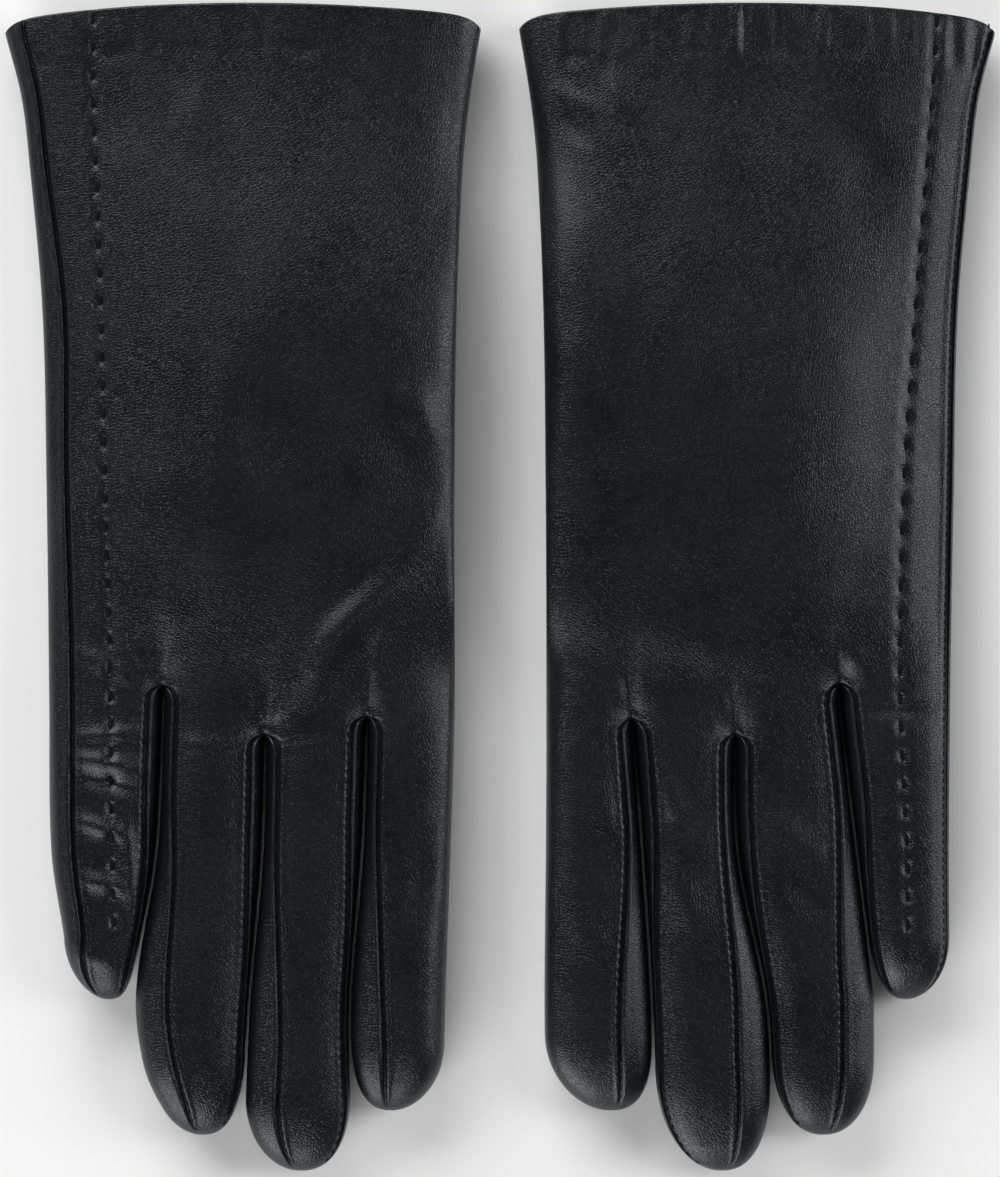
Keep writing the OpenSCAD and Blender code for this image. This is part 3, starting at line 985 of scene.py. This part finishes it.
def make_row(side):
    """The bold row of stitches down the back."""
    glove = GLOVES[side]
    rng = random.Random(11 if glove["way"] > 0 else 12)
    hand, little = bmesh.new(), bmesh.new()
    for y in glove["places"]:
        at, run = stitch_place(glove, 3, lambda v: along(glove["row"], v), y, 1.6)
        at.z += 0.06
        run.x += rng.uniform(-0.12, 0.12)
        run.normalize()
        bm = hand if y > glove["crotch"][4] else little
        length, width, height = ROW_STITCH
        length += rng.uniform(-0.2, 0.2)
        add_stitch(bm, at, run, (length, width, height), 8, 6)
    piece = thread_piece(side + "_row_stitches", hand, glove)
    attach(piece, side + "_hand")
    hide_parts(side + "_back_stitches")
    piece = thread_piece(side + "_little_row_stitches", little, glove)
    bend_with(piece, glove, 3)
    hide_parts(side + "_little_stitches")


def make_outseam(side):
    """The stitches of the seam down the little-finger side."""
    glove = GLOVES[side]
    hand, little = bmesh.new(), bmesh.new()
    y = cuff_line(0.9) - 1.5
    while y > TIP_Y[3] + 5:
        at, run = stitch_place(glove, 3, lambda v: outseam_u(glove, v) - OUTSEAM_STITCH_IN, y, 1.2)
        bm = hand if y > glove["crotch"][4] else little
        add_stitch(bm, at, run, OUTSEAM_STITCH)
        y -= OUTSEAM_PITCH
    piece = thread_piece(side + "_outseam_stitches", hand, glove)
    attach(piece, side + "_hand")
    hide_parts(side + "_outseam_thread")
    piece = thread_piece(side + "_little_outseam_stitches", little, glove)
    bend_with(piece, glove, 3)
    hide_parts(side + "_little_outseam_thread")


def make_finger_stitches(side):
    """The fine machine stitches beside each seam of the fingers."""
    glove = GLOVES[side]
    for f, finger in enumerate(FINGERS):
        bm = bmesh.new()
        for outer in (False, True):
            k = f + 1 if outer else f
            if k in (0, 4):
                continue
            way = 1 if outer else -1
            for palm in (False, True):

                def line(v):
                    return seam_u(glove, f, outer, v, palm) - way * SEAM_STITCH_IN

                y = glove["crotch"][k] - FIRST_STITCH
                while y > TIP_Y[f] + 1.2:
                    at, run = stitch_place(glove, f, line, y, 1.0, palm)
                    add_stitch(bm, at, run, SEAM_STITCH)
                    y -= SEAM_PITCH
        piece = thread_piece(side + "_" + finger + "_seam_stitches", bm, glove)
        bend_with(piece, glove, f)


# ---- Thumb ----


def thumb_point(t, y):
    """A point round the thumb; t goes once round from the little-finger side over the top."""
    q = 1.0
    over = max(THUMB_TIP_Y + THUMB_TIP_RUN - y, y - THUMB_HEEL_Y + THUMB_TIP_RUN)
    if over > 0:
        q = rounding(over / THUMB_TIP_RUN, TIP_N)
    turn = 2 * math.pi * t
    half = along(THUMB_HALF, y) * q
    lean = noise.noise(Vector((math.cos(turn) * 1.3, math.sin(turn) * 1.3, y * 0.12)))
    away = abs((t - THUMB_SEAM_T + 0.5) % 1.0 - 0.5) * 40
    dip = seam_dip(away) * q
    swell = 1 + 0.02 * lean
    fold = -0.35 * math.exp(-(((y - 20) / 1.6) ** 2)) - 0.3 * math.exp(-(((y - 26) / 1.4) ** 2))
    u = along(THUMB_LINE, y) + (half * swell + dip) * power(math.cos(turn), 2 / SECTION_N)
    rise = (THUMB_H / 2 - 0.15) * q**0.8
    rise += (dip * 0.5 + fold * 0.8 * q + 0.25 * lean * q) * (1 if math.sin(turn) < 0 else 0)
    z = 0.2 + THUMB_H / 2 + rise * power(math.sin(turn), 2 / SECTION_N)
    return Vector((u, y, z))


def thumb_rows():
    """Rows down the thumb, closing up toward its heel and its tip."""
    steps = round(90 * fineness())
    rows = []
    for i in range(steps + 1):
        a = math.pi * i / steps
        plain = (1 - math.cos(a)) / 2
        t = mix(i / steps, plain, 0.85)
        rows.append(mix(THUMB_HEEL_Y, THUMB_TIP_Y, t))
    return rows


def make_thumb(side):
    glove = GLOVES[side]
    bm = bmesh.new()
    rows = thumb_rows()

    def place(t, i):
        return thumb_point(t % 1.0, rows[i])

    made = sheet(bm, round(96 * fineness()), len(rows) - 1, place)
    bmesh.ops.remove_doubles(bm, verts=made, dist=WELD)
    finish_soft(bm, glove, inward=False)
    piece = new_piece(side + "_thumb_leather", bm, leather_material())
    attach(piece, side + "_thumb")
    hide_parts(side + "_thumb", side + "_thumb_lining")


def make_collar(side):
    """The leather that joins the thumb to the palm."""
    glove = GLOVES[side]
    bm = bmesh.new()

    def place(t, i):
        turn = 2 * math.pi * (t % 1.0)
        u = OPENING_U + (OPENING_HALF_W + COLLAR_OUT) * math.cos(turn)
        y = OPENING_Y + (OPENING_HALF_L + COLLAR_OUT) * math.sin(turn)
        f = 0 if u < -24 else 1
        top = palm_place(glove, f, u, y).z + 0.3
        return Vector((u, y, mix(top, THUMB_H - 0.5, i / COLLAR_STEPS)))

    made = sheet(bm, round(64 * fineness()), COLLAR_STEPS, place)
    bmesh.ops.remove_doubles(bm, verts=made, dist=FINE_WELD)
    finish_soft(bm, glove, inward=False)
    piece = new_piece(side + "_thumb_collar", bm, leather_material())
    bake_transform(piece)


def make_thumb_stitches(side):
    glove = GLOVES[side]
    bm = bmesh.new()
    y = THUMB_HEEL_Y - 6
    while y > THUMB_TIP_Y + 3:
        a = thumb_point(THUMB_STITCH_T, y + 0.5)
        b = thumb_point(THUMB_STITCH_T, y - 0.5)
        add_stitch(bm, (a + b) / 2, b - a, THUMB_STITCH)
        y -= THUMB_STITCH_PITCH
    piece = thread_piece(side + "_thumb_stitches", bm, glove)
    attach(piece, side + "_thumb")


# ---- Materials ----


def node(tree, kind, **values):
    made = tree.nodes.new(kind)
    for key, value in values.items():
        setattr(made, key, value)
    return made


def set_inputs(made, values):
    for key, value in values.items():
        made.inputs[key].default_value = value


def new_material(name):
    material = bpy.data.materials.new(name)
    material.use_nodes = True
    return material, material.node_tree, material.node_tree.nodes["Principled BSDF"]


def grain_group():
    """Pebbled grain of the leather: gives its height, and broad patches for the gloss."""
    name = "Nappa grain"
    if name in bpy.data.node_groups:
        return bpy.data.node_groups[name]
    group = bpy.data.node_groups.new(name, "ShaderNodeTree")
    face = group.interface
    face.new_socket("Height", in_out="OUTPUT", socket_type="NodeSocketFloat")
    face.new_socket("Patch", in_out="OUTPUT", socket_type="NodeSocketFloat")
    end = node(group, "NodeGroupOutput")
    place = node(group, "ShaderNodeTexCoord")
    warp = node(group, "ShaderNodeTexNoise")
    set_inputs(warp, {"Scale": 900, "Detail": 1})
    shift = node(group, "ShaderNodeVectorMath", operation="MULTIPLY_ADD")
    shift.inputs[1].default_value = (0.0004, 0.0004, 0.0004)
    cells = node(group, "ShaderNodeTexVoronoi", feature="DISTANCE_TO_EDGE")
    cells.inputs["Scale"].default_value = 1750
    crease = node(group, "ShaderNodeMapRange", interpolation_type="SMOOTHSTEP")
    crease.inputs["From Max"].default_value = 0.22
    fine = node(group, "ShaderNodeTexNoise")
    set_inputs(fine, {"Scale": 3200, "Detail": 2})
    both = node(group, "ShaderNodeMath", operation="MULTIPLY_ADD")
    both.inputs[1].default_value = 0.45
    patch = node(group, "ShaderNodeTexNoise")
    set_inputs(patch, {"Scale": 60, "Detail": 4})
    link = group.links.new
    link(place.outputs["Object"], warp.inputs["Vector"])
    link(warp.outputs["Color"], shift.inputs[0])
    link(place.outputs["Object"], shift.inputs[2])
    link(shift.outputs[0], cells.inputs["Vector"])
    link(cells.outputs["Distance"], crease.inputs["Value"])
    link(place.outputs["Object"], fine.inputs["Vector"])
    link(place.outputs["Object"], patch.inputs["Vector"])
    link(fine.outputs["Fac"], both.inputs[0])
    link(crease.outputs["Result"], both.inputs[2])
    link(both.outputs[0], end.inputs["Height"])
    link(patch.outputs["Fac"], end.inputs["Patch"])
    return group


def leather_material():
    name = "Black nappa leather"
    if name in bpy.data.materials:
        return bpy.data.materials[name]
    settings = bpy.context.scene.glove_pair
    material, tree, shader = new_material(name)
    grain = node(tree, "ShaderNodeGroup", node_tree=grain_group())
    bump = node(tree, "ShaderNodeBump")
    set_inputs(bump, {"Strength": settings.grain_strength, "Distance": 0.000065})
    gloss = node(tree, "ShaderNodeMapRange")
    set_inputs(gloss, {"From Min": 0.3, "From Max": 0.7, "To Min": 0.27, "To Max": 0.37})
    shader.inputs["Base Color"].default_value = (0.0027, 0.003, 0.0038, 1)
    shader.inputs["Specular Tint"].default_value = (0.9, 0.95, 1.0, 1)
    shader.inputs["Specular IOR Level"].default_value = 0.45
    link = tree.links.new
    link(grain.outputs["Height"], bump.inputs["Height"])
    link(grain.outputs["Patch"], gloss.inputs["Value"])
    link(gloss.outputs["Result"], shader.inputs["Roughness"])
    link(bump.outputs["Normal"], shader.inputs["Normal"])
    return material


def thread_material():
    name = "Black sewing thread"
    if name in bpy.data.materials:
        return bpy.data.materials[name]
    material, _, shader = new_material(name)
    shader.inputs["Base Color"].default_value = (0.002, 0.002, 0.0024, 1)
    shader.inputs["Roughness"].default_value = 0.7
    shader.inputs["Specular IOR Level"].default_value = 0.12
    return material


def lining_material():
    name = "Knitted lining"
    if name in bpy.data.materials:
        return bpy.data.materials[name]
    material, tree, shader = new_material(name)
    place = node(tree, "ShaderNodeTexCoord")
    ribs = node(tree, "ShaderNodeTexWave", wave_type="BANDS", bands_direction="X")
    set_inputs(ribs, {"Scale": 260, "Distortion": 1.5})
    bump = node(tree, "ShaderNodeBump")
    set_inputs(bump, {"Strength": 0.6, "Distance": 0.0003})
    tree.links.new(place.outputs["Object"], ribs.inputs["Vector"])
    tree.links.new(ribs.outputs["Fac"], bump.inputs["Height"])
    tree.links.new(bump.outputs["Normal"], shader.inputs["Normal"])
    shader.inputs["Base Color"].default_value = (0.016, 0.016, 0.018, 1)
    shader.inputs["Roughness"].default_value = 0.85
    return material


# ---- Stage ----


def add_light(name, place, size, power_w):
    data = bpy.data.lights.new(name, "AREA")
    data.shape = "RECTANGLE"
    data.size, data.size_y = size
    data.energy = power_w
    lamp = bpy.data.objects.new(name, data)
    bpy.context.scene.collection.objects.link(lamp)
    lamp.location = place
    toward = Vector((0, 0, 0)) - Vector(place)
    lamp.rotation_euler = toward.to_track_quat("-Z", "Y").to_euler()
    return lamp


def paper_material():
    """Pale paper that lets a view from below see through it."""
    paper, tree, shader = new_material("Pale paper")
    shader.inputs["Base Color"].default_value = (0.9, 0.9, 0.9, 1)
    shader.inputs["Roughness"].default_value = 0.9
    shader.inputs["Specular IOR Level"].default_value = 0.1
    side = node(tree, "ShaderNodeNewGeometry")
    clear = node(tree, "ShaderNodeBsdfTransparent")
    choice = node(tree, "ShaderNodeMixShader")
    link = tree.links.new
    link(side.outputs["Backfacing"], choice.inputs[0])
    link(shader.outputs[0], choice.inputs[1])
    link(clear.outputs[0], choice.inputs[2])
    link(choice.outputs[0], tree.nodes["Material Output"].inputs["Surface"])
    return paper


def make_floor():
    bm = bmesh.new()
    bmesh.ops.create_grid(bm, x_segments=1, y_segments=1, size=1.5)
    floor = new_piece("floor", bm, paper_material())
    floor.data.transform(Matrix.Translation((0, 0, -0.0004)))


def make_world():
    world = bpy.data.worlds.new("Studio")
    world.use_nodes = True
    set_inputs(world.node_tree.nodes["Background"], {"Color": (1, 1, 1, 1), "Strength": 0.1})
    bpy.context.scene.world = world
    bpy.context.scene.view_settings.view_transform = "Standard"


def make_camera():
    data = bpy.data.cameras.new("camera")
    data.lens = CAMERA_LENS
    data.sensor_width = 36
    data.clip_start = 0.01
    camera = bpy.data.objects.new("camera", data)
    bpy.context.scene.collection.objects.link(camera)
    camera.location = CAMERA_PLACE
    bpy.context.scene.camera = camera


def make_stage():
    make_floor()
    make_world()
    lamps = [add_light(*softbox) for softbox in SOFTBOXES]
    make_camera()


# ---- Add-on ----


class GlovePairSettings(bpy.types.PropertyGroup):
    grain_strength: bpy.props.FloatProperty(
        name="Grain strength",
        description="How deeply the pebbled grain stands out",
        default=0.55,
        min=0.0,
        max=1.0,
        subtype="FACTOR",
    )


class GLOVES_OT_leather(bpy.types.Operator):
    """Cut and sew the leather of both gloves"""

    bl_idname = "gloves.leather"
    bl_label = "Leather"

    def execute(self, context):
        for side in GLOVES:
            make_leather(side)
        return {"FINISHED"}


class GLOVES_OT_cuffs(bpy.types.Operator):
    """Turn in the hems and set the linings"""

    bl_idname = "gloves.cuffs"
    bl_label = "Cuffs"

    def execute(self, context):
        for side in GLOVES:
            make_hem(side)
            make_sock(side)
        return {"FINISHED"}


class GLOVES_OT_thumbs(bpy.types.Operator):
    """Make the thumbs folded under the palms"""

    bl_idname = "gloves.thumbs"
    bl_label = "Thumbs"

    def execute(self, context):
        for side in GLOVES:
            make_thumb(side)
            make_collar(side)
            make_thumb_stitches(side)
        return {"FINISHED"}


class GLOVES_OT_stitches(bpy.types.Operator):
    """Sew the decorative rows, the outseams and the finger seams"""

    bl_idname = "gloves.stitches"
    bl_label = "Stitches"

    def execute(self, context):
        for side in GLOVES:
            make_row(side)
            make_outseam(side)
            make_finger_stitches(side)
        return {"FINISHED"}


class GLOVES_OT_stage(bpy.types.Operator):
    """Set the floor, the lights and the camera"""

    bl_idname = "gloves.stage"
    bl_label = "Stage"

    def execute(self, context):
        make_stage()
        return {"FINISHED"}


class GLOVES_PT_panel(bpy.types.Panel):
    bl_label = "Leather gloves"
    bl_idname = "GLOVES_PT_panel"
    bl_space_type = "VIEW_3D"
    bl_region_type = "UI"
    bl_category = "Gloves"

    def draw(self, context):
        layout = self.layout
        layout.prop(context.scene.glove_pair, "grain_strength")
        for step in STEPS:
            layout.operator(step.bl_idname)


STEPS = (
    GLOVES_OT_leather,
    GLOVES_OT_cuffs,
    GLOVES_OT_thumbs,
    GLOVES_OT_stitches,
    GLOVES_OT_stage,
)
CLASSES = (GlovePairSettings, *STEPS, GLOVES_PT_panel)


def register():
    for cls in CLASSES:
        bpy.utils.register_class(cls)
    bpy.types.Scene.glove_pair = bpy.props.PointerProperty(type=GlovePairSettings)


def unregister():
    del bpy.types.Scene.glove_pair
    for cls in reversed(CLASSES):
        bpy.utils.unregister_class(cls)


def finish_patterns():
    """Adds what is worked out from each glove's pattern: its row of stitches and crotch folds."""
    for glove in GLOVES.values():
        glove["places"] = stitch_places(glove)
        for k in (1, 2, 3):
            rng = random.Random(10 * k + glove["way"])
            y0 = glove["crotch"][k]
            u0 = line_u(glove, k, y0)
            for du, dy, width, height in CROTCH_FOLDS:
                u1 = u0 + du * rng.uniform(0.5, 1.4)
                lift = height * rng.random()
                glove["creases"] += ((u0 + 0.2 * du, y0 + 1.5, u1, y0 + dy, width, lift),)


finish_patterns()


def main():
    register()
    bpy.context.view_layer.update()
    bpy.ops.gloves.leather()
    bpy.ops.gloves.cuffs()
    bpy.ops.gloves.thumbs()
    bpy.ops.gloves.stitches()
    bpy.ops.gloves.stage()


if __name__ == "__main__":
    main()
